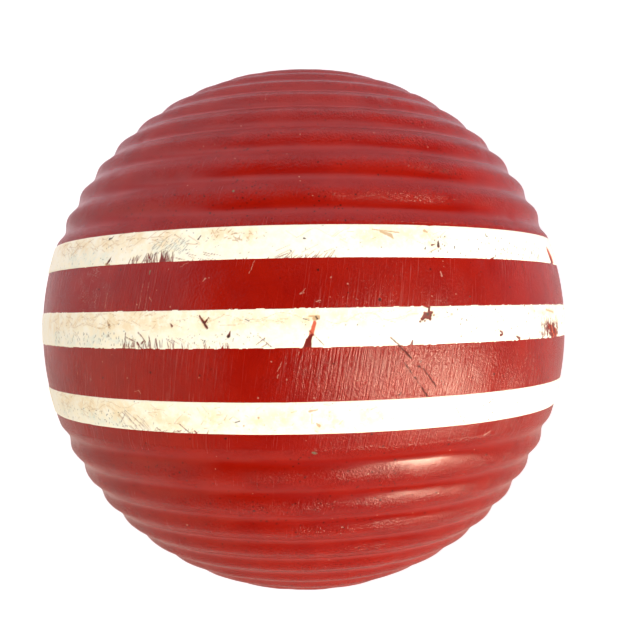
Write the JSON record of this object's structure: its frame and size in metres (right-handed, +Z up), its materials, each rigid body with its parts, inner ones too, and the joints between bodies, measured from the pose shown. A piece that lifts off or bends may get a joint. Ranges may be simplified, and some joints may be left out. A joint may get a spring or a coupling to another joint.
{
  "type": "croquet ball",
  "caption": "Turned wooden croquet ball with concentric rounded beads on both caps, red enamel all over and white enamel stripes round its plain waist.",
  "frame": {"origin": "centre of the ball", "axes": "the ball lies on its waist with +Z up; +Y along the axis that it was turned, beaded and striped about, towards the cap that the stripes sit slightly nearer to; X and Z are any two directions across that axis, because the ball is round about Y"},
  "size_m": [0.086, 0.0856, 0.086],
  "materials": {
    "wood": "satin",
    "red_enamel": "gloss",
    "white_enamel": "satin"
  },
  "bodies": {
    "root": {"wooden_core": "wood", "red_enamel_coat": "red_enamel", "white_stripe_upper": "white_enamel", "white_stripe_middle": "white_enamel", "white_stripe_lower": "white_enamel"}
  },
  "joints": []
}
